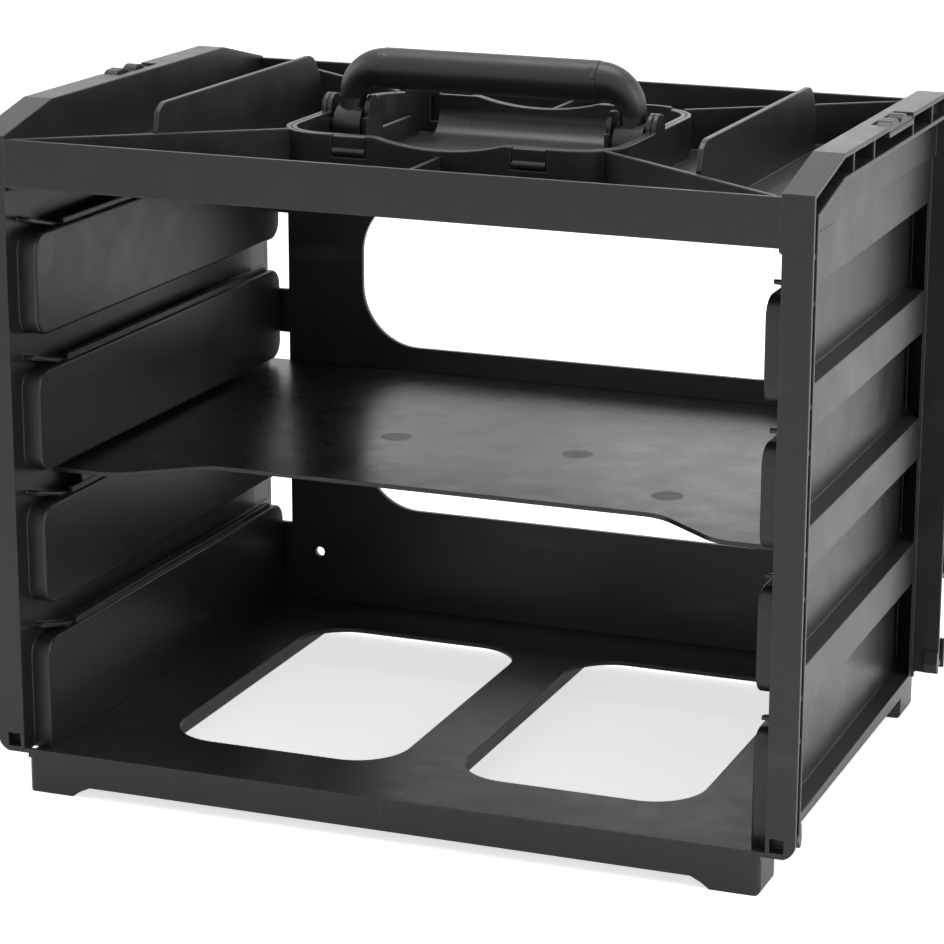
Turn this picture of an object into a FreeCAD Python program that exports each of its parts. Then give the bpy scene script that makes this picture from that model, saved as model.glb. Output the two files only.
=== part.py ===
import FreeCAD, Part
import math
import os

# Carrier rack for four assortment boxes, all sizes in millimetres.
# X runs to the right, Y to the back, Z up. The origin is on the ground, under the
# middle of the rack. In the functions below y is counted from the front face.

width = 376.0
depth = 265.0
height = 310.0

half_width = width / 2.0
middle_y = depth / 2.0

# skins and rims of the mouldings
skin = 2.0
rim = 1.5
back_skin = 2.5

# heights that follow the overall height
post_top = height - 10.0
bar_top = height - 11.5
bar_bottom = bar_top - 20.8
tray_floor = bar_bottom - 0.2
wall_top = tray_floor - 2.0

# base
floor_top = 18.0
lip_top = floor_top + 2.0
lip_bottom = 5.0
base_half = half_width - 15.0
skirt_bottom = 9.0
foot_outer = base_half
foot_inner = foot_outer - 22.0
foot_length = 22.0
foot_corner = 3.0
panel_front = depth - back_skin - 0.5
window_inner = 14.5
window_outer = base_half - 45.0
window_front = 44.0
window_rear = depth - 43.0
window_radius = 25.0
floor_rib_inner = window_inner - 2.7
floor_rib_outer = window_outer + 2.8
floor_rib_front = 60.0

# side walls
post_inner = half_width - 13.0
post_bottom = floor_top
post_corner_x = 5.2
post_corner_z = 8.0
post_pocket_inner = post_inner + 1.7
post_pocket_outer = post_inner + 8.0
post_pocket_low = post_bottom + 2.4
post_pocket_high = post_bottom + 8.8
post_pocket_depth = 6.0
ledge_inner = post_inner - 0.7
ledge_slope = 44.5
wall_inner = post_inner
wall_draft = 0.5
inner_rim_y = 6.0
inner_rim_drop = 10.2
inner_rim_bottom = 27.0
rim_link_lift = 19.0
rear_web_y = depth - 13.0
ledge_ribs = (-71.5, -38.5, 28.5, 63.5)

# box runners on the inside of the side walls
runner_count = 4
runner_pitch = 62.0
runner_depth = 9.0
runner_face = wall_inner - runner_depth
runner_top = wall_top - 19.9
runner_height = 46.1
runner_low = runner_top - runner_height
runner_front = 9.6
runner_rear = depth - 6.0
runner_radius = 9.0
runner_edge = 1.2
pocket_gap = 5.0
rail_start = 38.5
rail_height = 2.6
rail_width = 2.2
stop_y = 10.5
stop_tip = wall_inner - 6.0
stop_ramp = 28.0
stop_rise = 6.8
stop_skin = 1.5
groove_step_y = depth - 20.4
groove_step = 0.7

# top tray
tray_skin = 2.0
housing_half = 80.0
housing_front = middle_y - 65.0
housing_rear = middle_y + 65.0
housing_radius = 24.0
web_skin = 1.8
web_corner_x = ledge_inner - 2.8
web_corner_y = 2.6
web_rear_x = ledge_inner - 15.8
web_housing_x = housing_half - 8.0
web_housing_y = 9.5
web_housing_rear_x = housing_half - 9.0
fin_x = half_width - 63.0
fin_skin = 2.2
fin_top = height
fin_front = 46.5
fin_rear = depth - 42.5
tray_step_x = fin_x + 14.0
rib_top = bar_top - 6.8
clip_window_inner = 34.0
clip_window_outer = 50.0
clip_window_low = bar_top - 9.7

# handle cup
cup_gap = 0.5
cup_skin = 2.0
cup_floor = tray_floor + tray_skin + cup_gap
dip_half = 30.0
dip_depth = 4.0
ear_x = housing_half - 23.0
ear_skin = 2.0
ear_front = middle_y - 7.1
ear_rear = middle_y + 6.8
ear_rear_low = middle_y + 9.6
ear_foot_front = middle_y - 9.5
ear_foot_top = bar_top - 1.5
ear_top = bar_top + 7.9
ear_blind = 0.7
ear_low_top = bar_top - 8.4
ear_low_rear = middle_y + 53.5
hump_top = bar_top + 7.7
cove_radius = 12.0
cove_half = 49.6
cup_slot_outer = cove_half + 4.4
cup_slot_low = bar_top - 13.0
cup_slot_high = bar_top - 1.0
rim_rise = 1.3
rim_rise_outer = housing_half - 14.0

# handle
pivot_z = bar_top - 6.5
grip_z = pivot_z + 26.9
grip_radius = 9.3
grip_half = ear_x - 5.2
leg_x = ear_x + 10.2
leg_radius = 6.0
elbow_radius = 8.9
collar_length = 1.2
barrel_radius = 9.5
barrel_side_gap = 1.6
barrel_inner = ear_x + ear_skin + barrel_side_gap
barrel_outer = housing_half - skin - cup_gap - cup_skin - barrel_side_gap
pin_radius = 2.5
pin_clear = 0.06
core_radius = 4.5
core_socket = 8.2
core_half = grip_half + core_socket

# shelf
shelf_gap = 2.3
shelf_top = runner_low - runner_pitch - shelf_gap
shelf_skin = 2.0
shelf_half = wall_inner - 2.8
shelf_front = 30.0
shelf_recess = 28.5
recess_outer = 149.0
recess_inner = 99.0
recess_turn = 14.2
recess_slope = 40.0
shelf_rear = panel_front - 0.8
flank_front = 48.0
flank_rear_gap = 27.0
flank_rear = depth - flank_rear_gap
flank_skin = 1.4

# back panel
panel_window_side = 68.6
panel_window_half = half_width - panel_window_side
panel_window_radius = 30.0
upper_window_height = 77.0
upper_window_drop = 21.6
upper_window_high = runner_top - upper_window_drop
upper_window_low = upper_window_high - upper_window_height
lower_window_height = 73.2
lower_window_high = shelf_top - 1.0
lower_window_low = lower_window_high - lower_window_height
corner_slot_inset = 5.7
corner_slot_inner = runner_face - corner_slot_inset
corner_slot_height = 39.6
corner_slot_drop = 34.3
corner_slot_high = runner_top - corner_slot_drop
corner_slot_low = corner_slot_high - corner_slot_height
screw_hole_inset = 43.5
screw_hole_x = half_width - screw_hole_inset
screw_hole_rise = 25.6
screw_hole_drop = 23.9
screw_hole_low = floor_top + screw_hole_rise
screw_hole_high = tray_floor - screw_hole_drop
screw_hole_radius = 2.5

# coupling clips on the ledges
notch_front = middle_y - 14.5
notch_rear = middle_y + 25.5
clip_sink = 1.2
clip_ridge = 6.5
notch_inner = half_width - 9.0
notch_depth = 3.0


def vec(x, y, z):
    return FreeCAD.Vector(x, y, z)


def slab(x0, x1, y0, y1, z0, z1):
    return Part.makeBox(x1 - x0, y1 - y0, z1 - z0, vec(x0, y0, z0))


def polygon_edges(points):
    """Edges of a closed outline. A corner given with a third value is the middle of an arc."""
    edges = []
    count = len(points)
    i = 0
    while i < count:
        a = points[i]
        b = points[(i + 1) % count]
        if len(b) == 4:
            c = points[(i + 2) % count]
            arc = Part.Arc(vec(*a[:3]), vec(*b[:3]), vec(*c[:3]))
            edges.append(arc.toShape())
            i += 2
        else:
            edges.append(Part.LineSegment(vec(*a[:3]), vec(*b[:3])).toShape())
            i += 1
    return edges


def prism(points, travel):
    wire = Part.Wire(polygon_edges(points))
    return Part.Face(wire).extrude(travel)


def xz_prism(outline, y0, y1):
    """Outline of (x, z) points, drawn at y0 and pulled to y1."""
    points = [(p[0], y0, p[1]) + tuple(p[2:]) for p in outline]
    return prism(points, vec(0, y1 - y0, 0))


def xy_prism(outline, z0, z1):
    points = [(p[0], p[1], z0) + tuple(p[2:]) for p in outline]
    return prism(points, vec(0, 0, z1 - z0))


def yz_prism(outline, x0, x1):
    points = [(x0, p[0], p[1]) + tuple(p[2:]) for p in outline]
    return prism(points, vec(x1 - x0, 0, 0))


def join(shapes):
    result = shapes[0]
    if len(shapes) > 1:
        result = shapes[0].fuse(shapes[1:])
    return result.removeSplitter()


def mirrored(shape):
    return shape.mirror(vec(0, 0, 0), vec(1, 0, 0))


def rounded_rect(x0, x1, y0, y1, r):
    """Outline with arcs at its four corners, as (a, b) points."""
    k = r * (1.0 - math.cos(math.radians(45)))
    return [
        (x0 + r, y0),
        (x1 - r, y0),
        (x1 - k, y0 + k, 1),
        (x1, y0 + r),
        (x1, y1 - r),
        (x1 - k, y1 - k, 1),
        (x1 - r, y1),
        (x0 + r, y1),
        (x0 + k, y1 - k, 1),
        (x0, y1 - r),
        (x0, y0 + r),
        (x0 + k, y0 + k, 1),
    ]


def runner_level(k):
    return -runner_pitch * k


def ledge_line(drop):
    """Upper edge of the side seen from the side, lowered by drop, front to back."""
    low = post_top - drop
    high = height - drop
    shift = 0.11 * drop
    return [(0.0, low), (ledge_slope + shift, high), (depth - ledge_slope - shift, high), (depth, low)]


def runner_outline(k, inset):
    """Side view of runner k as (y, z) points, drawn in by inset. The lowest one stands on the floor."""
    front = runner_front + inset
    rear = runner_rear - inset
    top = runner_top - inset + runner_level(k)
    low = runner_low + inset + runner_level(k)
    r = runner_radius - inset
    if k < runner_count - 1:
        return rounded_rect(front, rear, low, top, r)
    foot = post_bottom + inset
    corner = r * (1.0 - math.cos(math.radians(45)))
    return [
        (front, foot),
        (rear, foot),
        (rear, top - r),
        (rear - corner, top - corner, 1),
        (rear - r, top),
        (front + r, top),
        (front + corner, top - corner, 1),
        (front, top - r),
    ]


def runner_body(k):
    """Pillow-shaped runner k, counted from the top, before its pocket is cut."""
    block = yz_prism(runner_outline(k, 0.0), runner_face, wall_inner + skin)
    border = []
    for edge in block.Edges:
        box = edge.BoundBox
        on_face = abs(box.XMin - runner_face) < 0.01 and abs(box.XMax - runner_face) < 0.01
        if on_face and box.ZMax > post_bottom + 1.0:
            border.append(edge)
    return block.makeFillet(runner_edge, border)


def runner_pocket(k):
    """Hollow side of runner k, open to the outside."""
    deep = runner_face + skin
    out = wall_inner + skin + 0.5
    hollow = yz_prism(runner_outline(k, skin), deep, out)
    plan = [
        (deep - 1.0, 0.0),
        (out, 0.0),
        (out, rear_web_y - pocket_gap),
        (deep, runner_rear - skin),
        (deep - 1.0, runner_rear - skin),
    ]
    return hollow.common(xy_prism(plan, 0.0, height))


def runner_rail(k):
    """Low rail along the edge of runner k, where the rim of a box slides."""
    top = runner_top + runner_level(k)
    inner = runner_face + runner_edge
    return slab(inner, inner + rail_width, rail_start, runner_rear - runner_radius - 3.0, top - 0.5, top + rail_height)


def runner_stop(k):
    """Thin lip that rises towards the front of groove k and keeps a box from sliding out."""
    top = runner_top + runner_level(k)
    half_y = stop_y + stop_ramp / 2.0
    end_y = stop_y + stop_ramp
    lip = [
        (stop_y, top + stop_rise - 0.7),
        (stop_y + 0.3, top + stop_rise),
        (stop_y + 1.4, top + stop_rise + 0.4),
        (half_y, top + stop_rise / 2.0),
        (end_y, top + 0.2),
        (end_y, top - 0.6),
        (end_y - 5.0, top - 0.6),
        (half_y, top + stop_rise / 2.0 - stop_skin),
        (stop_y + 0.3, top + stop_rise - stop_skin),
    ]
    return yz_prism(lip, stop_tip, wall_inner + 0.6)


def inner_rim_loop():
    """Second rim of the side, a little inside the outer edge."""
    high = ledge_line(inner_rim_drop)
    low = ledge_line(inner_rim_drop + rim)
    front = inner_rim_y
    rear = rear_web_y
    slope = (high[1][1] - high[0][1]) / (high[1][0] - high[0][0])
    front_high = high[0][1] + slope * front
    rear_high = high[3][1] + slope * (depth - rear - rim)
    outline = [
        (front, inner_rim_bottom),
        (front, front_high),
        high[1],
        high[2],
        (rear + rim, rear_high),
        (rear + rim, 21.0),
        (rear, 21.0),
        (rear, rear_high - rim),
        low[2],
        low[1],
        (front + rim, front_high - rim),
        (front + rim, inner_rim_bottom),
    ]
    return outline


def side_wall():
    """Right side: front post, ledge, double rim, panel with runners, rear post."""
    panel = slab(wall_inner, wall_inner + skin, 0.0, depth - 3.4, post_bottom, wall_top)
    parts = [panel]
    for k in range(runner_count):
        parts.append(runner_body(k))
    shell = join(parts)
    for k in range(runner_count):
        shell = shell.cut(runner_pocket(k))
    details = [shell]
    for k in range(runner_count):
        details.append(runner_rail(k))
        details.append(runner_stop(k))
    shell = join(details)
    shell.rotate(vec(wall_inner, 0, 0), vec(0, 0, 1), wall_draft)

    rear_x = wall_inner - math.tan(math.radians(wall_draft)) * depth
    pieces = [shell]
    pieces.append(slab(post_inner, half_width, 0.0, skin, post_bottom, post_top))
    pieces.append(post_socket())
    top = ledge_line(0.0)
    under = ledge_line(skin)
    ledge = yz_prism(top + list(reversed(under)), ledge_inner, half_width)
    pieces.append(ledge)
    upper = yz_prism(list(reversed(ledge_line(1.0))) + [(0.0, wall_top), (depth, wall_top)], ledge_inner, ledge_inner + skin)
    pieces.append(upper)
    shelf_web = [
        (ledge_inner + skin, 3.0),
        (wall_inner - 2.2, 3.0),
        (rear_x - 2.2, panel_front - 1.0),
        (ledge_inner + skin, panel_front - 1.0),
    ]
    pieces.append(xy_prism(shelf_web, wall_top, tray_floor))
    loop = yz_prism(inner_rim_loop(), wall_inner + 0.8, half_width)
    pieces.append(loop)
    rear_web = slab(rear_x + 0.4, wall_inner + 1.0, rear_web_y, rear_web_y + rim, post_bottom, wall_top)
    pieces.append(rear_web)
    pieces.append(rear_flange(rear_x))
    for offset in ledge_ribs:
        y = middle_y + offset
        low = height - inner_rim_drop - 0.5
        pieces.append(slab(ledge_inner + 1.0, half_width - 0.6, y - 0.7, y + 0.7, low, height - 1.0))
    for k in range(runner_count):
        for lift in (rim_link_lift, 0.0):
            level = runner_top + lift + runner_level(k)
            pieces.append(slab(wall_inner + 1.0, half_width - 0.5, 1.0, inner_rim_y + 0.5, level - 1.0, level + 1.0))
            pieces.append(slab(wall_inner + 1.0, half_width - 0.5, rear_web_y + 0.5, depth - 1.0, level - 1.0, level + 1.0))
    wall = join(pieces)
    wall = wall.cut(post_end())
    for k in range(runner_count - 1):
        dz = runner_level(k)
        low = corner_slot_low + dz
        high = corner_slot_high + dz
        wall = wall.cut(slab(corner_slot_inner, post_inner - 1.6, runner_rear + 0.5, depth + 1.0, low, high))
        groove_low = runner_top + runner_level(k + 1) + 0.5
        groove_high = runner_low + dz - 0.5
        step_x = rear_x + groove_step + 0.1
        wall = wall.cut(slab(corner_slot_inner, step_x, groove_step_y, panel_front, groove_low, groove_high))
    notch = slab(notch_inner, half_width + 1.0, notch_front, notch_rear, height - notch_depth, height + 1.0)
    wall = wall.cut(notch)
    seat_top = height - notch_depth
    seat = slab(ledge_inner + 1.0, half_width, notch_front - 1.0, notch_rear + 1.0, seat_top - skin, seat_top)
    return wall.fuse(seat)


def post_socket():
    """Small closed box behind the lower end of the front post."""
    wide = skin - 0.3
    return slab(post_inner, post_pocket_outer + wide, 0.5, post_pocket_depth + wide, post_bottom, post_pocket_high + wide)


def post_end():
    """Cut at the lower end of the front post: a square pocket and a rounded outer corner."""
    pocket = slab(post_pocket_inner, post_pocket_outer, -1.0, post_pocket_depth, post_pocket_low, post_pocket_high)
    corner = [
        (half_width - post_corner_x, post_bottom),
        (half_width - 0.3 * post_corner_x, post_bottom + 0.3 * post_corner_z, 1),
        (half_width, post_bottom + post_corner_z),
        (half_width + 1.0, post_bottom + post_corner_z),
        (half_width + 1.0, post_bottom - 1.0),
        (half_width - post_corner_x, post_bottom - 1.0),
    ]
    return pocket.fuse(xz_prism(corner, -1.0, inner_rim_y - 1.0))


def rear_flange(rear_x):
    """Rear edge of the side, open between its bridges so that the corner stays light."""
    plate = slab(rear_x + 0.2, half_width, depth - skin, depth, 21.0, tray_floor)
    head = slab(ledge_inner, half_width, depth - skin, depth, tray_floor - 1.0, post_top)
    plate = plate.fuse(head)
    link = slab(rear_x + 0.2, rear_x + 2.2, rear_web_y, depth, post_bottom, wall_top)
    for k in range(runner_count):
        low = runner_low + 12.0 + runner_level(k)
        high = runner_top - 3.1 + runner_level(k)
        plate = plate.cut(slab(half_width - 9.0, half_width + 1.0, depth - 3.0, depth + 1.0, low, high))
    return plate.fuse(link)


def hook_outline():
    """Lower end of the inner rim, a small hook that catches a clip of the rack below."""
    return [
        (inner_rim_y, inner_rim_bottom + 1.0),
        (inner_rim_y - 2.6, inner_rim_bottom - 1.0),
        (inner_rim_y - 2.4, inner_rim_bottom - 2.6),
        (inner_rim_y - 0.6, inner_rim_bottom - 1.8),
        (inner_rim_y + 1.4, inner_rim_bottom - 5.6),
        (inner_rim_y + 3.6, inner_rim_bottom - 5.4),
        (inner_rim_y + 4.6, inner_rim_bottom - 1.0),
        (inner_rim_y + 3.4, inner_rim_bottom + 5.0),
        (inner_rim_y, inner_rim_bottom + 5.0),
    ]


def side_wall_with_hooks():
    wall = side_wall()
    front_hook = yz_prism(hook_outline(), half_width - 7.0, half_width)
    rear_points = [(rear_web_y + rim + inner_rim_y - p[0], p[1]) for p in hook_outline()]
    rear_hook = yz_prism(rear_points, half_width - 7.0, half_width)
    return join([wall, front_hook, rear_hook])


def floor_frame():
    """Base plate with its front lip, rolled sides, feet and two large windows."""
    plate = slab(-base_half, base_half, 0.0, panel_front, floor_top - skin, floor_top)
    parts = [plate]
    parts.append(slab(-post_inner + 0.1, post_inner - 0.1, 0.0, skin, floor_top, lip_top))
    parts.append(slab(-base_half, base_half, 0.0, skin, lip_bottom + 3.0, lip_top))
    parts.append(slab(-foot_outer, foot_outer, 0.0, skin, lip_bottom, lip_bottom + 4.0))
    parts.append(slab(-foot_outer, foot_outer, panel_front - skin, panel_front, lip_bottom, floor_top))
    for s in (-1, 1):
        skirt = [
            (s * base_half, floor_top),
            (s * base_half, skirt_bottom + 2.0),
            (s * (base_half - 0.6), skirt_bottom + 0.6, 1),
            (s * (base_half - 2.0), skirt_bottom),
            (s * (base_half - 2.2), floor_top),
        ]
        parts.append(xz_prism(skirt, 0.0, panel_front))
        for x, rear in ((floor_rib_front, window_front - 2.0), (floor_rib_outer, panel_front), (floor_rib_inner, panel_front)):
            parts.append(slab(s * x - 0.9, s * x + 0.9, skin, rear - 1.0, floor_top - 9.0, floor_top - 1.0))
        for y0 in (0.0, panel_front - foot_length):
            parts.append(foot_block(s, y0))
    base = join(parts)
    for s in (-1, 1):
        x0 = min(s * window_inner, s * window_outer)
        x1 = max(s * window_inner, s * window_outer)
        outline = rounded_rect(x0, x1, window_front, window_rear, window_radius)
        base = base.cut(xy_prism(outline, 4.0, floor_top + 1.0))
        base = base.cut(foot_rounding(s))
    return base


def foot_block(s, y0):
    """One hollow foot at a corner of the base, flush with the skirt, with a chamfered inner flank."""
    outline = [
        (s * foot_outer, floor_top - 1.0),
        (s * foot_outer, 2.0),
        (s * (foot_outer - 0.6), 0.6, 1),
        (s * (foot_outer - 2.0), 0.0),
        (s * foot_inner, 0.0),
        (s * (foot_inner - 3.6), 2.6),
        (s * (foot_inner - 8.6), lip_bottom),
        (s * (foot_inner - 8.6), floor_top - 1.0),
    ]
    block = xz_prism(outline, y0, y0 + foot_length)
    lo = min(s * (foot_outer - 2.4), s * (foot_inner + 2.0))
    hi = max(s * (foot_outer - 2.4), s * (foot_inner + 2.0))
    hollow = slab(lo, hi, y0 + 2.4, y0 + foot_length - 2.4, 2.4, floor_top)
    return block.cut(hollow)


def foot_rounding(s):
    """What a soft vertical edge takes off the front corner of the base, below the floor plate."""
    k = foot_corner * (1.0 - math.cos(math.radians(45)))
    outline = [
        (s * (base_half - foot_corner), 0.0),
        (s * (base_half - k), k, 1),
        (s * base_half, foot_corner),
        (s * (base_half + 1.0), foot_corner),
        (s * (base_half + 1.0), -1.0),
        (s * (base_half - foot_corner), -1.0),
    ]
    return xy_prism(outline, -1.0, floor_top - skin)


def housing_wall(offset, z0, z1):
    """Ring wall of the oval handle housing, its outer face moved inward by offset."""
    x1 = housing_half - offset
    outer = rounded_rect(-x1, x1, housing_front + offset, housing_rear - offset, housing_radius - offset)
    return xy_prism(outer, z0, z1)


def rim_dip(shape, extra):
    """Lower the front and rear of an oval wall between the two brackets, in a soft curve."""
    top = bar_top + extra
    outline = [
        (-dip_half, top),
        (-dip_half * 0.55, top - dip_depth * 0.72, 1),
        (0.0, top - dip_depth),
        (dip_half * 0.55, top - dip_depth * 0.72, 1),
        (dip_half, top),
        (dip_half, top + 6.0),
        (-dip_half, top + 6.0),
    ]
    return shape.cut(xz_prism(outline, housing_front - 2.0, housing_rear + 2.0))


def web(x0, y0, x1, y1):
    """Thin upright web of the tray from one point to another."""
    length = math.hypot(x1 - x0, y1 - y0)
    bar = slab(0.0, length, -web_skin / 2.0, web_skin / 2.0, tray_floor, bar_top)
    bar.rotate(vec(0, 0, 0), vec(0, 0, 1), math.degrees(math.atan2(y1 - y0, x1 - x0)))
    bar.translate(vec(x0, y0, 0))
    return bar


def top_tray():
    """Front bar and tray, with the oval housing, crossing webs and the two tall fins."""
    bar = slab(-ledge_inner, ledge_inner, 0.0, skin, bar_bottom, bar_top)
    plate = slab(-ledge_inner, ledge_inner, skin - 0.5, panel_front, tray_floor, tray_floor + tray_skin)
    parts = [bar, plate]
    for s in (-1, 1):
        x0 = min(s * tray_step_x, s * ledge_inner)
        x1 = max(s * tray_step_x, s * ledge_inner)
        parts.append(slab(x0, x1, skin - 0.5, panel_front, tray_floor, tray_floor + tray_skin + 2.0))
        parts.append(web(s * web_corner_x, web_corner_y, s * web_housing_x, housing_front + web_housing_y))
        parts.append(web(s * web_rear_x, panel_front - 0.9, s * web_housing_rear_x, housing_rear - 2.0))
        fin = [
            (fin_front, tray_floor + 1.0),
            (fin_front, fin_top - 12.0),
            (fin_front + 2.5, fin_top - 3.5),
            (fin_front + 6.0, fin_top - 1.0, 1),
            (fin_front + 11.0, fin_top),
            (fin_rear - 15.5, fin_top),
            (fin_rear - 9.0, fin_top - 1.0, 1),
            (fin_rear - 5.0, fin_top - 4.0),
            (fin_rear, fin_top - 12.0),
            (fin_rear, tray_floor + 1.0),
        ]
        parts.append(yz_prism(fin, s * fin_x - fin_skin / 2.0, s * fin_x + fin_skin / 2.0))
    solid = join(parts)
    solid = solid.fuse(housing_wall(0.0, tray_floor, bar_top))
    solid = solid.cut(housing_wall(skin, tray_floor - 1.0, bar_top + 1.0))
    solid = rim_dip(solid, 0.0)
    humps = [end_hump(s, housing_half, skin, tray_floor + 1.0) for s in (-1, 1)]
    solid = join([solid] + humps)
    rib_front = slab(-0.9, 0.9, skin - 0.5, housing_front + 1.0, tray_floor + 1.0, rib_top)
    rib_rear = slab(-0.9, 0.9, housing_rear - 1.0, panel_front, tray_floor + 1.0, rib_top)
    solid = join([solid, rib_front, rib_rear])
    for s in (-1, 1):
        x0 = min(s * clip_window_inner, s * clip_window_outer)
        x1 = max(s * clip_window_inner, s * clip_window_outer)
        solid = solid.cut(slab(x0, x1, housing_front - 1.0, housing_front + 3.0, clip_window_low, bar_top + 1.0))
        solid = solid.cut(slab(x0, x1, housing_rear - 3.0, housing_rear + 1.0, clip_window_low, bar_top + 1.0))
    return solid


def cup_ear(s):
    """Upright bracket plate that carries the inner end of one hinge pin."""
    crown_z = ear_top - (ear_rear - ear_front) / 2.0
    outline = [
        (ear_foot_front, cup_floor - 1.0),
        (ear_foot_front, ear_foot_top),
        (ear_front, ear_foot_top),
        (ear_front, crown_z),
        ((ear_front + ear_rear) / 2.0, ear_top, 1),
        (ear_rear, crown_z),
        (ear_rear_low, ear_low_top),
        (ear_low_rear - 9.0, ear_low_top),
        (ear_low_rear, ear_low_top - 6.0),
        (ear_low_rear, cup_floor - 1.0),
    ]
    x0 = min(s * ear_x, s * (ear_x + ear_skin))
    x1 = max(s * ear_x, s * (ear_x + ear_skin))
    return yz_prism(outline, x0, x1)


def end_hump(s, face, wall, low):
    """Round-topped hump of an oval end wall beside the hinge; the wall's outer face is at face."""
    crown_z = hump_top - (ear_rear - ear_front) / 2.0
    outline = [
        (ear_front, low),
        (ear_front, crown_z),
        ((ear_front + ear_rear) / 2.0, hump_top, 1),
        (ear_rear, crown_z),
        (ear_rear, low),
    ]
    x0 = min(s * (face - wall), s * face)
    x1 = max(s * (face - wall), s * face)
    return yz_prism(outline, x0, x1)


def cup_cove(side):
    """Hollow rounding between the cup's floor and its front wall (side -1) or rear wall (side 1)."""
    wall = (housing_rear - middle_y) - skin - cup_gap - cup_skin
    k = cove_radius * (1.0 - math.cos(math.radians(45)))
    outline = [
        (middle_y + side * (wall + 0.5), cup_floor - 0.5),
        (middle_y + side * (wall + 0.5), cup_floor + cove_radius),
        (middle_y + side * wall, cup_floor + cove_radius),
        (middle_y + side * (wall - k), cup_floor + k, 1),
        (middle_y + side * (wall - cove_radius), cup_floor),
        (middle_y + side * (wall - cove_radius), cup_floor - 0.5),
    ]
    return yz_prism(outline, -cove_half, cove_half)


def cup_rim_rise(s):
    """Stretch of the rear rim, outside the slot, that stands a little higher."""
    offset = skin + cup_gap
    ring = housing_wall(offset, bar_top - 1.0, bar_top + rim_rise)
    ring = ring.cut(housing_wall(offset + cup_skin, bar_top - 2.0, bar_top + rim_rise + 1.0))
    x0 = min(s * cove_half, s * rim_rise_outer)
    x1 = max(s * cove_half, s * rim_rise_outer)
    return ring.common(slab(x0, x1, housing_rear - housing_radius, housing_rear, bar_top - 1.0, bar_top + rim_rise))


def handle_cup():
    """Oval cup that snaps into the housing and carries the folding handle."""
    offset = skin + cup_gap
    outer = housing_wall(offset, cup_floor - 1.8, bar_top)
    inner = housing_wall(offset + cup_skin, cup_floor, bar_top + 1.0)
    cup = outer.cut(inner)
    cup = rim_dip(cup, 0.0)
    parts = [cup]
    for s in (-1, 1):
        parts.append(cup_ear(s))
        parts.append(end_hump(s, housing_half - offset, cup_skin, cup_floor))
        parts.append(cup_cove(s))
        parts.append(cup_rim_rise(s))
        x0 = min(s * (clip_window_inner + 0.4), s * (clip_window_outer - 0.4))
        x1 = max(s * (clip_window_inner + 0.4), s * (clip_window_outer - 0.4))
        for side in (0, 1):
            tab = [
                (housing_front + offset + 0.4, bar_top),
                (housing_front + 0.3, bar_top - 0.6),
                (housing_front + 0.3, bar_top - 5.9),
                (housing_front - 0.6, bar_top - 7.3, 1),
                (housing_front + 0.4, bar_top - 9.1),
                (housing_front + offset + 0.4, bar_top - 9.1),
            ]
            if side == 1:
                tab = [(2.0 * middle_y - p[0],) + tuple(p[1:]) for p in tab]
            parts.append(yz_prism(tab, x0, x1))
    cup = join(parts)
    for s in (-1, 1):
        start = vec(s * (ear_x + ear_blind), middle_y, pivot_z)
        bore = Part.makeCylinder(pin_radius + pin_clear, housing_half - ear_x, start, vec(s, 0, 0))
        cup = cup.cut(bore)
        x0 = min(s * cove_half, s * cup_slot_outer)
        x1 = max(s * cove_half, s * cup_slot_outer)
        rear = housing_rear - offset
        cup = cup.cut(slab(x0, x1, rear - cup_skin - 1.0, rear + 1.0, cup_slot_low, cup_slot_high))
    return cup


def handle_core():
    """Rod inside the grip, its ends socketed in the two elbows."""
    return Part.makeCylinder(core_radius, 2.0 * core_half, vec(-core_half, middle_y, grip_z), vec(1, 0, 0))


def handle_grip():
    grip = Part.makeCylinder(grip_radius, 2.0 * grip_half, vec(-grip_half, middle_y, grip_z), vec(1, 0, 0))
    return grip.cut(handle_core())


def handle_elbow(s):
    """Bent arm from the end of the grip down to the hinge barrel."""
    start_x = s * (grip_half + collar_length)
    bend = leg_x - grip_half - collar_length
    centre_z = grip_z - bend
    collar = Part.makeCylinder(elbow_radius, collar_length, vec(s * grip_half, middle_y, grip_z), vec(s, 0, 0))
    diagonal = bend * math.sin(math.radians(45))
    first = vec(start_x, middle_y, grip_z)
    middle = vec(start_x + s * diagonal, middle_y, centre_z + diagonal)
    last = vec(s * leg_x, middle_y, centre_z)
    path = Part.Wire([Part.Arc(first, middle, last).toShape()])
    upper_ring = Part.Wire([Part.makeCircle(elbow_radius, first, vec(s, 0, 0))])
    lower_ring = Part.Wire([Part.makeCircle(leg_radius, last, vec(0, 0, -1))])
    bent = path.makePipeShell([upper_ring, lower_ring], True, True)
    leg_height = centre_z - pivot_z
    leg = Part.makeCylinder(leg_radius, leg_height, vec(s * leg_x, middle_y, pivot_z), vec(0, 0, 1))
    barrel_start = vec(s * barrel_inner, middle_y, pivot_z)
    barrel = Part.makeCylinder(barrel_radius, barrel_outer - barrel_inner, barrel_start, vec(s, 0, 0))
    arm = collar.fuse([bent, leg, barrel])
    bore = Part.makeCylinder(pin_radius, housing_half - ear_x, vec(s * ear_x, middle_y, pivot_z), vec(s, 0, 0))
    return arm.cut([bore, handle_core()])


def pivot_pin(s):
    start_x = ear_x + ear_blind + pin_clear
    length = housing_half - skin - cup_gap - start_x
    return Part.makeCylinder(pin_radius, length, vec(s * start_x, middle_y, pivot_z), vec(s, 0, 0))


def shelf_half_at(y):
    """Half width of the shelf at y; the walls come closer towards the back."""
    return shelf_half - math.tan(math.radians(wall_draft)) * y


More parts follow.
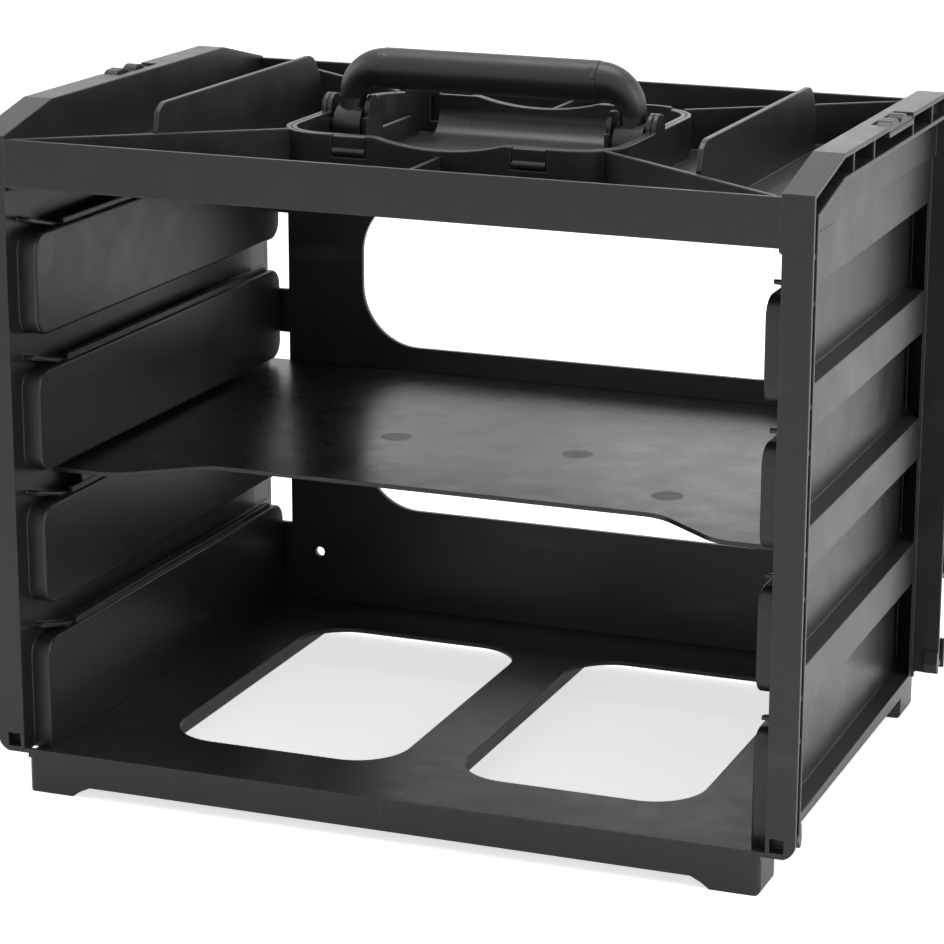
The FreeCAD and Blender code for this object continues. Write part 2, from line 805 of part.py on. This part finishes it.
def recess_edge():
    """Right end of the finger recess: a bend, a slanting run and a bend the other way, as (x, y) points."""
    back = shelf_front + shelf_recess
    half_turn = math.radians(recess_slope / 2.0)
    radius = recess_turn / math.sin(2.0 * half_turn)
    drop = recess_turn * math.tan(half_turn)
    middle_x = radius * math.sin(half_turn)
    middle_drop = radius * (1.0 - math.cos(half_turn))
    return [
        (recess_inner, back),
        (recess_inner + middle_x, back - middle_drop, 1),
        (recess_inner + recess_turn, back - drop),
        (recess_outer - recess_turn, shelf_front + drop),
        (recess_outer - middle_x, shelf_front + middle_drop, 1),
        (recess_outer, shelf_front),
    ]


def shelf():
    """Removable shelf with a finger recess in its front edge, resting on the rails of the third runners."""
    right = recess_edge()
    right.append((shelf_half_at(shelf_front), shelf_front))
    right.append((shelf_half_at(shelf_rear), shelf_rear))
    left = [(-p[0],) + tuple(p[1:]) for p in reversed(right)]
    parts = [xy_prism(left + right, shelf_top - shelf_skin, shelf_top)]
    rest = runner_top + rail_height + runner_level(2)
    draft = math.tan(math.radians(wall_draft))
    inner = runner_face + runner_edge + 0.1
    for s in (-1, 1):
        flank = [
            (s * (inner - draft * flank_front), flank_front),
            (s * (inner + flank_skin - draft * flank_front), flank_front),
            (s * (inner + flank_skin - draft * flank_rear), flank_rear),
            (s * (inner - draft * flank_rear), flank_rear),
        ]
        parts.append(xy_prism(flank, rest, shelf_top - 0.5))
    return join(parts)


def back_panel():
    """Rear panel with two wide windows, corner slots behind the grooves and screw holes."""
    rear_x = wall_inner - math.tan(math.radians(wall_draft)) * panel_front
    half = rear_x - 0.2
    rear = panel_front + back_skin
    panel = slab(-half, half, panel_front, rear, post_bottom, tray_floor)
    upper = slab(-ledge_inner, ledge_inner, panel_front, rear, tray_floor, post_top - 0.6)
    base = slab(-base_half + 6.0, base_half - 6.0, panel_front, rear, lip_bottom, post_bottom)
    panel = join([panel, upper, base])
    for low, high in ((lower_window_low, lower_window_high), (upper_window_low, upper_window_high)):
        outline = rounded_rect(-panel_window_half, panel_window_half, low, high, panel_window_radius)
        panel = panel.cut(xz_prism(outline, panel_front - 1.0, depth + 1.0))
    for s in (-1, 1):
        x0 = min(s * corner_slot_inner, s * post_inner)
        x1 = max(s * corner_slot_inner, s * post_inner)
        for k in range(runner_count - 1):
            low = corner_slot_low + runner_level(k)
            high = corner_slot_high + runner_level(k)
            panel = panel.cut(slab(x0, x1, panel_front - 1.0, depth + 1.0, low, high))
        for z in (screw_hole_low, screw_hole_high):
            start = vec(s * screw_hole_x, panel_front - 1.0, z)
            panel = panel.cut(Part.makeCylinder(screw_hole_radius, back_skin + 2.0, start, vec(0, 1, 0)))
    return panel


def coupling_clip():
    """Sprung clip in the notch of a ledge, which takes the hook of a rack set on top."""
    low = height - notch_depth
    plate = slab(notch_inner, half_width - 0.4, notch_front + 0.3, notch_rear - 0.3, low, height - clip_sink)
    outline = [
        (notch_front + 0.3, low),
        (notch_rear - 9.0, low),
        (notch_rear - 9.0, height - clip_sink),
        (notch_rear - 10.0, height),
        (notch_rear - 14.0, height + 1.6, 1),
        (notch_rear - 19.0, height + 0.4),
        (notch_rear - 20.0, height - clip_sink),
        (notch_front + 16.0, height - clip_sink),
        (notch_front + 13.0, height + 1.0, 1),
        (notch_front + 7.0, height + 1.4),
        (notch_front + 2.0, height + 0.4, 1),
        (notch_front + 0.3, height - 1.4),
    ]
    ridge = yz_prism(outline, half_width - clip_ridge, half_width - 0.4)
    return join([plate, ridge])


def save(name, shape):
    placed = shape.copy()
    placed.translate(vec(0, -middle_y, 0))
    solids = placed.Solids
    print(name, "solids", len(solids), "volume", round(placed.Volume, 1), "valid", placed.isValid())
    if len(solids) == 1:
        placed = solids[0]
    placed.exportStep("parts/" + name + ".step")


def main():
    os.makedirs("parts", exist_ok=True)
    right_wall = side_wall_with_hooks()
    save("side_wall_right", right_wall)
    save("side_wall_left", mirrored(right_wall))
    save("floor_frame", floor_frame())
    save("top_tray", top_tray())
    save("back_panel", back_panel())
    save("handle_cup", handle_cup())
    save("handle_core", handle_core())
    save("handle_grip", handle_grip())
    save("shelf", shelf())
    clip = coupling_clip()
    save("coupling_clip_right", clip)
    save("coupling_clip_left", mirrored(clip))
    for side, s in (("left", -1), ("right", 1)):
        save("handle_elbow_" + side, handle_elbow(s))
        save("pivot_pin_" + side, pivot_pin(s))


main()
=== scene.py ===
import math

import bpy
import numpy as np
from mathutils import Matrix, Vector


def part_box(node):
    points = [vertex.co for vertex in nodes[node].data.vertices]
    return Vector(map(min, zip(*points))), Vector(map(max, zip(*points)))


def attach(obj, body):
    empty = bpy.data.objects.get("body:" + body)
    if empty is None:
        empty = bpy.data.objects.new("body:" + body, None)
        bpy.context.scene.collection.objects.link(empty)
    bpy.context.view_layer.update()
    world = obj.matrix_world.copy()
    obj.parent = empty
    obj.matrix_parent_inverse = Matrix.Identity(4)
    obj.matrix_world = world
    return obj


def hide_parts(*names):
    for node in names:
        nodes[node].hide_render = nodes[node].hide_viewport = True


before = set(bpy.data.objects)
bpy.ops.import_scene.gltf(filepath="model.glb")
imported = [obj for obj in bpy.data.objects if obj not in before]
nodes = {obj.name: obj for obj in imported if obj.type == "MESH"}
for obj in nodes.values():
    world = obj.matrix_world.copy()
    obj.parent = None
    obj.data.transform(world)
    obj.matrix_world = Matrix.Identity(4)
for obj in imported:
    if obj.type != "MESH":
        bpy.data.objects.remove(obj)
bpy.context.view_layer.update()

print("frame loaded:", len(nodes), "nodes")

# Lengths are in metres, and the frame is the rack's own: X right, Y back, Z up.


def addObject(name, data):
    added = bpy.data.objects.new(name, data)
    bpy.context.scene.collection.objects.link(added)
    return added


# Camera, where the photographer stood

cameraSet = {
    "place": (0.5282, -1.3727, 0.5371),
    "turnLeft": 19.79,      # degrees, as are the next two
    "lookDown": 15.96,
    "roll": 0.56,
    "picture": 944,         # pixels across, square
    "focalPixels": 3288.7,
    "axisPixel": (559.3, 509.3),   # where the optical axis meets the picture
    "sensor": 36.0,         # millimetres
    "nearFar": (0.05, 50.0),
}


def makeCamera(c):
    data = bpy.data.cameras.new("camera")
    data.sensor_width = c["sensor"]
    data.lens = c["focalPixels"] * c["sensor"] / c["picture"]
    data.shift_x = 0.5 - c["axisPixel"][0] / c["picture"]
    data.shift_y = c["axisPixel"][1] / c["picture"] - 0.5
    data.clip_start, data.clip_end = c["nearFar"]
    camera = addObject("camera", data)
    turn = Matrix.Rotation(math.radians(c["turnLeft"]), 4, "Z")
    tilt = Matrix.Rotation(math.radians(90.0 - c["lookDown"]), 4, "X")
    roll = Matrix.Rotation(math.radians(c["roll"]), 4, "Z")
    camera.matrix_world = Matrix.Translation(c["place"]) @ turn @ tilt @ roll
    bpy.context.scene.camera = camera


makeCamera(cameraSet)


# Small helpers for shader trees; those that end in Node add one node

def mathNode(tree, operation, a, b=None, clamp=False):
    node = tree.nodes.new("ShaderNodeMath")
    node.operation = operation
    node.use_clamp = clamp
    for i, value in enumerate((a, b)):
        if value is None:
            continue
        if isinstance(value, (int, float)):
            node.inputs[i].default_value = value
        else:
            tree.links.new(value, node.inputs[i])
    return node.outputs[0]


def noiseNode(tree, vector, scale, detail, rough=0.5):
    node = tree.nodes.new("ShaderNodeTexNoise")
    node.inputs["Scale"].default_value = scale
    node.inputs["Detail"].default_value = detail
    node.inputs["Roughness"].default_value = rough
    tree.links.new(vector, node.inputs["Vector"])
    return node.outputs["Fac"]


def mixNode(tree, share, low, high):
    node = tree.nodes.new("ShaderNodeMix")
    node.data_type = "RGBA"
    tree.links.new(share, node.inputs["Factor"])
    for label, value in (("A", low), ("B", high)):
        socket = [i for i in node.inputs if i.name == label and i.type == "RGBA"][0]
        if isinstance(value, tuple):
            socket.default_value = (*value, 1.0)
        else:
            tree.links.new(value, socket)
    return [o for o in node.outputs if o.type == "RGBA"][0]


# (value - start) * gain, held between 0 and 1
def maskAbove(tree, value, start, gain):
    return mathNode(tree, "MULTIPLY", mathNode(tree, "SUBTRACT", value, start), gain, clamp=True)


# Light and stage

studioSet = {
    "floorColour": (0.93, 0.93, 0.93),
    "floorReach": 9.0,
    "floorSeen": 0.70,      # glow of the floor that only the camera sees
    "floorMirrored": 0.30,  # and that only reflections see
    "worldLight": 0.35,     # soft light from all round
    "seenWhite": 1.0,       # what the camera and reflections see behind the object
    "lamps": {
        # name: place, aim, width, height, watts
        "topLamp": ((0.0, 0.2, 2.4), (0.0, 0.0, 0.2), 1.6, 1.2, 31.0),
        "rightLamp": ((1.9, -0.4, 1.0), (0.1, 0.0, 0.15), 1.0, 1.4, 15.0),
        "rearRightLamp": ((1.7, 1.1, 0.7), (0.1, 0.0, 0.15), 1.2, 1.2, 7.5),
        "leftLamp": ((-2.1, -0.3, 1.0), (0.0, 0.0, 0.2), 1.2, 1.2, 8.0),
        "backLamp": ((-0.1, 2.3, 0.9), (0.0, 0.0, 0.2), 1.3, 1.3, 2.8),
        "backLeftLamp": ((-1.5, 1.9, 0.8), (0.0, 0.0, 0.2), 1.3, 1.3, 1.1),
        "frontRightLamp": ((1.5, -1.6, 0.8), (0.15, 0.0, 0.15), 1.0, 1.0, 2.0),
    },
}


def makeWorld(s):
    world = bpy.data.worlds.new("studio")
    world.use_nodes = True
    tree = world.node_tree
    tree.nodes.clear()
    path = tree.nodes.new("ShaderNodeLightPath").outputs
    straight = mathNode(tree, "MAXIMUM", path["Is Camera Ray"], path["Is Glossy Ray"])
    straight = mathNode(tree, "MAXIMUM", straight, path["Is Transmission Ray"])
    level = tree.nodes.new("ShaderNodeMapRange")
    level.inputs["To Min"].default_value = s["worldLight"]
    level.inputs["To Max"].default_value = s["seenWhite"]
    tree.links.new(straight, level.inputs["Value"])
    back = tree.nodes.new("ShaderNodeBackground")
    back.inputs["Color"].default_value = (1.0, 1.0, 1.0, 1.0)
    tree.links.new(level.outputs["Result"], back.inputs["Strength"])
    out = tree.nodes.new("ShaderNodeOutputWorld")
    tree.links.new(back.outputs["Background"], out.inputs["Surface"])
    bpy.context.scene.world = world


def makeLamps(s):
    for name, (place, aim, wide, high, watts) in s["lamps"].items():
        data = bpy.data.lights.new(name, "AREA")
        data.shape = "RECTANGLE"
        data.size = wide
        data.size_y = high
        data.energy = watts
        lamp = addObject(name, data)
        lamp.location = place
        lamp.rotation_euler = (Vector(aim) - Vector(place)).to_track_quat("-Z", "Y").to_euler()


# Matt and shadow-keeping, with a glow on top that lights nothing
def makeFloor(s):
    reach = s["floorReach"]
    mesh = bpy.data.meshes.new("floor")
    corners = [(-reach, -reach, 0), (reach, -reach, 0), (reach, reach, 0), (-reach, reach, 0)]
    mesh.from_pydata(corners, [], [(0, 1, 2, 3)])
    floor = addObject("floor", mesh)
    material = bpy.data.materials.new("paleFloor")
    material.use_nodes = True
    tree = material.node_tree
    tree.nodes.clear()
    matt = tree.nodes.new("ShaderNodeBsdfDiffuse")
    matt.inputs["Color"].default_value = (*s["floorColour"], 1.0)
    path = tree.nodes.new("ShaderNodeLightPath").outputs
    seen = mathNode(tree, "MULTIPLY", path["Is Camera Ray"], s["floorSeen"])
    mirrored = mathNode(tree, "MULTIPLY", path["Is Glossy Ray"], s["floorMirrored"])
    glow = tree.nodes.new("ShaderNodeEmission")
    tree.links.new(mathNode(tree, "MAXIMUM", seen, mirrored), glow.inputs["Strength"])
    both = tree.nodes.new("ShaderNodeAddShader")
    tree.links.new(matt.outputs["BSDF"], both.inputs[0])
    tree.links.new(glow.outputs["Emission"], both.inputs[1])
    out = tree.nodes.new("ShaderNodeOutputMaterial")
    tree.links.new(both.outputs[0], out.inputs["Surface"])
    mesh.materials.append(material)


makeWorld(studioSet)
makeLamps(studioSet)
makeFloor(studioSet)
bpy.context.scene.view_settings.view_transform = "Standard"
print("camera, light and floor ready")


# Effects that several materials use

def newGroup(name, ins, outs):
    group = bpy.data.node_groups.new(name, "ShaderNodeTree")
    for direction, labels in (("INPUT", ins), ("OUTPUT", outs)):
        for label in labels:
            kind = "NodeSocketVector" if label in ("Vector", "Normal") else "NodeSocketFloat"
            group.interface.new_socket(label, in_out=direction, socket_type=kind)
    start = group.nodes.new("NodeGroupInput").outputs
    end = group.nodes.new("NodeGroupOutput").inputs
    return group, start, end


grainSet = {
    "fineDetail": 2.0,
    "waveScale": 22.0,
    "waveDetail": 1.0,
    "patchScale": 60.0,
    "patchDetail": 3.0,
    "patchRough": 0.6,
}


# Height is the fine spark-eroded mould texture plus slow waves where the skin has sunk a little.
def makeGrainGroup(g):
    group, start, end = newGroup("mouldGrain", ["Vector", "Grain Size", "Grain", "Waves"], ["Height", "Patch"])
    fine = group.nodes.new("ShaderNodeTexNoise")
    fine.inputs["Detail"].default_value = g["fineDetail"]
    group.links.new(start["Vector"], fine.inputs["Vector"])
    group.links.new(start["Grain Size"], fine.inputs["Scale"])
    waves = noiseNode(group, start["Vector"], g["waveScale"], g["waveDetail"])
    patch = noiseNode(group, start["Vector"], g["patchScale"], g["patchDetail"], g["patchRough"])
    fineHeight = mathNode(group, "MULTIPLY", fine.outputs["Fac"], start["Grain"])
    waveHeight = mathNode(group, "MULTIPLY", waves, start["Waves"])
    group.links.new(mathNode(group, "ADD", fineHeight, waveHeight), end["Height"])
    group.links.new(patch, end["Patch"])
    return group


edgeSet = {
    "samples": 6,
    "bendGain": 5.0,
    "breakupScale": 120.0,
    "breakupDetail": 4.0,
    "breakupRough": 0.7,
    "breakupGain": 6.0,
}


# Rounded corner normal, and a mask that is 1 along outer edges and 0 on flat faces; the mask marks the rims both as
# worn plastic and as a painted highlight.
def makeEdgeGroup(g):
    group, start, end = newGroup("softEdge", ["Radius", "Breakup"], ["Normal", "Edge"])
    bevel = group.nodes.new("ShaderNodeBevel")
    bevel.samples = g["samples"]
    group.links.new(start["Radius"], bevel.inputs["Radius"])
    geometry = group.nodes.new("ShaderNodeNewGeometry")
    dot = group.nodes.new("ShaderNodeVectorMath")
    dot.operation = "DOT_PRODUCT"
    group.links.new(bevel.outputs["Normal"], dot.inputs[0])
    group.links.new(geometry.outputs["Normal"], dot.inputs[1])
    bend = mathNode(group, "SUBTRACT", 1.0, dot.outputs["Value"], clamp=True)
    bend = mathNode(group, "MULTIPLY", bend, g["bendGain"], clamp=True)
    place = group.nodes.new("ShaderNodeTexCoord").outputs["Object"]
    breakup = noiseNode(group, place, g["breakupScale"], g["breakupDetail"], g["breakupRough"])
    # where along the edges the wear and the painted highlight show
    edgeWearAndHighlightBreakup = maskAbove(group, breakup, start["Breakup"], g["breakupGain"])
    group.links.new(bevel.outputs["Normal"], end["Normal"])
    group.links.new(mathNode(group, "MULTIPLY", bend, edgeWearAndHighlightBreakup, clamp=True), end["Edge"])
    return group


scuffSet = {
    # turn about Z, stretch of the noise along the three axes
    "strokes": ((0.5, (9.0, 700.0, 60.0)), (-0.9, (620.0, 14.0, 90.0))),
    "tilt": (0.2, 0.3),
    "thinAbove": 0.66,
    "thinGain": 9.0,
    "rubScale": 14.0,
    "rubDetail": 3.0,
    "rubRough": 0.6,
    "rubAbove": 0.5,
    "rubGain": 5.0,
}


# Mask of fine straight scratches in two directions, gathered in a few rubbed places.
def makeScuffGroup(g):
    group, start, end = newGroup("scuffs", ["Vector", "Amount"], ["Scratch", "Rub"])
    masks = []
    for turn, stretch in g["strokes"]:
        mapping = group.nodes.new("ShaderNodeMapping")
        mapping.inputs["Rotation"].default_value = (*g["tilt"], turn)
        mapping.inputs["Scale"].default_value = stretch
        group.links.new(start["Vector"], mapping.inputs["Vector"])
        lines = noiseNode(group, mapping.outputs["Vector"], 1.0, 1.0)
        masks.append(maskAbove(group, lines, g["thinAbove"], g["thinGain"]))
    both = mathNode(group, "MAXIMUM", masks[0], masks[1])
    where = noiseNode(group, start["Vector"], g["rubScale"], g["rubDetail"], g["rubRough"])
    rub = maskAbove(group, where, g["rubAbove"], g["rubGain"])
    scratch = mathNode(group, "MULTIPLY", both, rub)
    scratch = mathNode(group, "MULTIPLY", scratch, start["Amount"])
    group.links.new(scratch, end["Scratch"])
    group.links.new(rub, end["Rub"])
    return group


dustSet = {
    "levelAbove": 0.55,     # how far a face has to look up
    "levelGain": 2.4,
    "filmScale": 35.0,
    "filmDetail": 4.0,
    "filmRough": 0.65,
    "filmShare": 0.35,
    "speckScale": 240.0,
    "speckReach": 0.09,
    "speckGain": 18.0,
}


# Mask of thin dust and specks that settle on faces that look up.
def makeDustGroup(g):
    group, start, end = newGroup("dust", ["Vector", "Amount"], ["Dust"])
    geometry = group.nodes.new("ShaderNodeNewGeometry")
    split = group.nodes.new("ShaderNodeSeparateXYZ")
    group.links.new(geometry.outputs["Normal"], split.inputs[0])
    up = maskAbove(group, split.outputs["Z"], g["levelAbove"], g["levelGain"])
    film = noiseNode(group, start["Vector"], g["filmScale"], g["filmDetail"], g["filmRough"])
    cells = group.nodes.new("ShaderNodeTexVoronoi")
    cells.inputs["Scale"].default_value = g["speckScale"]
    group.links.new(start["Vector"], cells.inputs["Vector"])
    speck = mathNode(group, "SUBTRACT", g["speckReach"], cells.outputs["Distance"])
    speck = mathNode(group, "MULTIPLY", speck, g["speckGain"], clamp=True)
    both = mathNode(group, "ADD", mathNode(group, "MULTIPLY", film, g["filmShare"]), speck, clamp=True)
    both = mathNode(group, "MULTIPLY", both, up)
    group.links.new(mathNode(group, "MULTIPLY", both, start["Amount"]), end["Dust"])
    return group


grainGroup = makeGrainGroup(grainSet)
edgeGroup = makeEdgeGroup(edgeSet)
scuffGroup = makeScuffGroup(scuffSet)
dustGroup = makeDustGroup(dustSet)


# Finishes: black mouldings that differ in grain, gloss, wear and painted edge highlight

finishSet = {
    "shellPlastic": {
        "colour": (0.0125, 0.0125, 0.0135), "rough": 0.36, "grainSize": 2300.0, "grain": 0.5, "waves": 0.9,
        "bump": 0.14, "edgeRadius": 0.0010, "edgeBreak": 0.42, "scuff": 0.24, "dust": 0.08,
    },
    "cupPlastic": {
        "colour": (0.012, 0.012, 0.013), "rough": 0.34, "grainSize": 3200.0, "grain": 0.3, "waves": 0.8,
        "bump": 0.11, "edgeRadius": 0.0008, "edgeBreak": 0.45, "scuff": 0.15, "dust": 0.10,
    },
    "handlePlastic": {
        "colour": (0.014, 0.014, 0.015), "rough": 0.40, "grainSize": 2800.0, "grain": 0.35, "waves": 0.7,
        "bump": 0.13, "edgeRadius": 0.0008, "edgeBreak": 0.46, "scuff": 0.18, "dust": 0.05,
    },
    "shelfPlastic": {
        "colour": (0.013, 0.013, 0.014), "rough": 0.29, "grainSize": 2000.0, "grain": 0.25, "waves": 1.0,
        "bump": 0.11, "edgeRadius": 0.0006, "edgeBreak": 0.42, "scuff": 0.16, "dust": 0.05,
        "marks": ((-0.049, 0.0045, 0.0075), (0.0405, 0.0065, 0.0075), (0.101, -0.0455, 0.0075)),
    },
}

wearAndEdgeHighlightSet = {
    "ior": 1.5,
    "patchShade": (0.82, 1.22),             # darkest and lightest share of the colour
    "scratchColour": (0.16, 0.16, 0.165),
    # pale rims: colour and share of the edge mask, standing for wear and for a painted highlight along the edges
    "edgeWearAndHighlightColour": (0.13, 0.13, 0.135),
    "edgeWearAndHighlightShare": 0.35,
    "dustColour": (0.42, 0.41, 0.39),
    "markColour": (0.028, 0.028, 0.029),
    "markShare": 0.4,
    "markSharpness": 2500.0,
    "patchRough": 0.16,                     # the next four are added to the roughness
    "rubRough": -0.05,
    "dustRough": 0.5,
    "markRough": 0.12,
    "bumpDistance": 0.0006,
}


def groupNode(tree, group, **values):
    node = tree.nodes.new("ShaderNodeGroup")
    node.node_tree = group
    for label, value in values.items():
        node.inputs[label.replace("_", " ")].default_value = value
    return node


# 1 inside each round mark that an ejector pin left: (x, y, radius), measured on the flat face
def roundMarks(tree, place, marks):
    split = tree.nodes.new("ShaderNodeSeparateXYZ")
    tree.links.new(place, split.inputs[0])
    total = None
    for x, y, radius in marks:
        dx = mathNode(tree, "SUBTRACT", split.outputs["X"], x)
        dy = mathNode(tree, "SUBTRACT", split.outputs["Y"], y)
        square = mathNode(tree, "ADD", mathNode(tree, "MULTIPLY", dx, dx), mathNode(tree, "MULTIPLY", dy, dy))
        inside = mathNode(tree, "SUBTRACT", radius, mathNode(tree, "SQRT", square))
        inside = mathNode(tree, "MULTIPLY", inside, wearAndEdgeHighlightSet["markSharpness"], clamp=True)
        total = inside if total is None else mathNode(tree, "MAXIMUM", total, inside)
    return total


def makePlastic(name, f, w):
    material = bpy.data.materials.new(name)
    material.use_nodes = True
    tree = material.node_tree
    shader = tree.nodes["Principled BSDF"]
    shader.inputs["IOR"].default_value = w["ior"]
    place = tree.nodes.new("ShaderNodeTexCoord").outputs["Object"]
    grain = groupNode(tree, grainGroup, Grain_Size=f["grainSize"], Grain=f["grain"], Waves=f["waves"])
    edge = groupNode(tree, edgeGroup, Radius=f["edgeRadius"], Breakup=f["edgeBreak"])
    scuff = groupNode(tree, scuffGroup, Amount=f["scuff"])
    dust = groupNode(tree, dustGroup, Amount=f["dust"])
    for node in (grain, scuff, dust):
        tree.links.new(place, node.inputs["Vector"])
    patch = grain.outputs["Patch"]

    dark, light = (tuple(v * shade for v in f["colour"]) for shade in w["patchShade"])
    colour = mixNode(tree, patch, dark, light)
    colour = mixNode(tree, scuff.outputs["Scratch"], colour, w["scratchColour"])
    # worn rims lightened together with a painted highlight along every edge
    edgeWearAndHighlightMask = mathNode(tree, "MULTIPLY", edge.outputs["Edge"], w["edgeWearAndHighlightShare"])
    colour = mixNode(tree, edgeWearAndHighlightMask, colour, w["edgeWearAndHighlightColour"])
    colour = mixNode(tree, dust.outputs["Dust"], colour, w["dustColour"])

    rough = mathNode(tree, "MULTIPLY", mathNode(tree, "SUBTRACT", patch, 0.5), w["patchRough"])
    rough = mathNode(tree, "ADD", rough, f["rough"])
    rough = mathNode(tree, "ADD", rough, mathNode(tree, "MULTIPLY", scuff.outputs["Rub"], w["rubRough"]))
    dusty = mathNode(tree, "MULTIPLY", dust.outputs["Dust"], w["dustRough"])
    rough = mathNode(tree, "ADD", rough, dusty, clamp=True)

    if "marks" in f:
        marks = roundMarks(tree, place, f["marks"])
        colour = mixNode(tree, mathNode(tree, "MULTIPLY", marks, w["markShare"]), colour, w["markColour"])
        rough = mathNode(tree, "ADD", rough, mathNode(tree, "MULTIPLY", marks, w["markRough"]), clamp=True)

    bump = tree.nodes.new("ShaderNodeBump")
    bump.inputs["Strength"].default_value = f["bump"]
    bump.inputs["Distance"].default_value = w["bumpDistance"]
    tree.links.new(grain.outputs["Height"], bump.inputs["Height"])
    tree.links.new(edge.outputs["Normal"], bump.inputs["Normal"])

    tree.links.new(colour, shader.inputs["Base Color"])
    tree.links.new(rough, shader.inputs["Roughness"])
    tree.links.new(bump.outputs["Normal"], shader.inputs["Normal"])
    return material


steelSet = {
    "colour": (0.55, 0.55, 0.56),
    "lineScale": 900.0,
    "lineDetail": 3.0,
    "rough": 0.2,
    "roughSpan": 0.3,
}


def makeSteel(s):
    material = bpy.data.materials.new("pinSteel")
    material.use_nodes = True
    tree = material.node_tree
    shader = tree.nodes["Principled BSDF"]
    shader.inputs["Metallic"].default_value = 1.0
    shader.inputs["Base Color"].default_value = (*s["colour"], 1.0)
    place = tree.nodes.new("ShaderNodeTexCoord").outputs["Object"]
    lines = noiseNode(tree, place, s["lineScale"], s["lineDetail"])
    rough = mathNode(tree, "ADD", mathNode(tree, "MULTIPLY", lines, s["roughSpan"]), s["rough"])
    tree.links.new(rough, shader.inputs["Roughness"])
    return material


materials = {name: makePlastic(name, f, wearAndEdgeHighlightSet) for name, f in finishSet.items()}
materials["pinSteel"] = makeSteel(steelSet)
print("finishes ready:", len(materials))


# Soft sleeve of the handle: a closed tube along X with rounded rims and a small raised pad at each end

gripSet = {
    "endRound": 0.0006,
    "roundSteps": 6,
    "boreRadius": 0.0045,
    "padLong": 0.0016,
    "padArc": (14.0, 49.0),     # degrees above level, on the front
    "padLift": 0.00025,
    "padBlend": 0.0002,         # half the length over which a pad runs out
    "padBlendTurn": 1.0,        # the same round the grip, in degrees
    "padRings": (-0.0002, -0.0001, 0.0, 0.0001, 0.0002, 0.003, 0.012),
    "middleRings": 13,
    "middleShare": 0.6,
    "around": 192,
}


# Rings of the sleeve from the left bore mouth over the skin to the right one: (x, radius)
def gripRings(g, half, outer):
    left = [(-half, g["boreRadius"])]
    for k in range(g["roundSteps"] + 1):
        a = math.radians(90.0 * k / g["roundSteps"])
        left.append((-half + g["endRound"] * (1.0 - math.cos(a)), outer - g["endRound"] * (1.0 - math.sin(a))))
    left += [(-half + g["padLong"] + d, outer) for d in g["padRings"]]
    reach = g["middleShare"] * half
    middle = [(x, outer) for x in np.linspace(-reach, reach, g["middleRings"])]
    return left + middle + [(-x, r) for x, r in reversed(left)]


# 0 below edge - blend, 1 above edge + blend, with a soft S between them
def softStep(value, edge, blend):
    t = np.clip((value - edge + blend) / (2.0 * blend), 0.0, 1.0)
    return t * t * (3.0 - 2.0 * t)


# Each ring is a circle round the grip's axis; inside the pad's arc and length its radius grows by padLift.
def makeGrip(g):
    low, high = (np.array(v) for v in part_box("handle_grip"))
    centre = (low + high) / 2.0
    half = (high[0] - low[0]) / 2.0
    outer = (high[2] - low[2]) / 2.0
    rings = gripRings(g, half, outer)
    turn = np.linspace(0.0, 2.0 * math.pi, g["around"], endpoint=False)[None, :]
    x = np.array([r[0] for r in rings])[:, None] + 0.0 * turn
    radius = np.array([r[1] for r in rings])[:, None] + 0.0 * turn
    degrees = np.degrees(turn)
    inArc = softStep(degrees, g["padArc"][0], g["padBlendTurn"])
    inArc = inArc * (1.0 - softStep(degrees, g["padArc"][1], g["padBlendTurn"]))
    nearEnd = 1.0 - softStep(half - np.abs(x), g["padLong"], g["padBlend"])
    onSkin = radius > outer - 0.5 * g["endRound"]
    radius = radius + np.where(onSkin, inArc * nearEnd * g["padLift"], 0.0)
    points = np.stack([centre[0] + x, centre[1] - radius * np.cos(turn), centre[2] + radius * np.sin(turn)], axis=-1)
    n = g["around"]
    i = np.arange(len(rings))[:, None]
    k = np.arange(n)[None, :]
    nextRing = (i + 1) % len(rings)
    nextPoint = (k + 1) % n
    faces = np.stack([i * n + k, nextRing * n + k, nextRing * n + nextPoint, i * n + nextPoint], axis=-1)
    mesh = bpy.data.meshes.new("softGrip")
    mesh.from_pydata(points.reshape(-1, 3).tolist(), [], faces.reshape(-1, 4).tolist())
    mesh.shade_smooth()
    return addObject("softGrip", mesh)


softGrip = makeGrip(gripSet)
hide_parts("handle_grip")
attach(softGrip, "handle")
print("sleeve ready:", len(softGrip.data.polygons), "faces")


# Which finish each node of the rack wears

finishOf = {
    "shellPlastic": ("side_wall_left", "side_wall_right", "floor_frame", "top_tray", "back_panel"),
    "cupPlastic": ("handle_cup", "coupling_clip_left", "coupling_clip_right", "handle_core"),
    "handlePlastic": ("handle_grip", "handle_elbow_left", "handle_elbow_right"),
    "pinSteel": ("pivot_pin_left", "pivot_pin_right"),
    "shelfPlastic": ("shelf",),
}


def dress(piece, material):
    piece.data.materials.clear()
    piece.data.materials.append(materials[material])


dress(softGrip, "handlePlastic")
for material, names in finishOf.items():
    for name in names:
        dress(nodes[name], material)
print("pieces dressed")
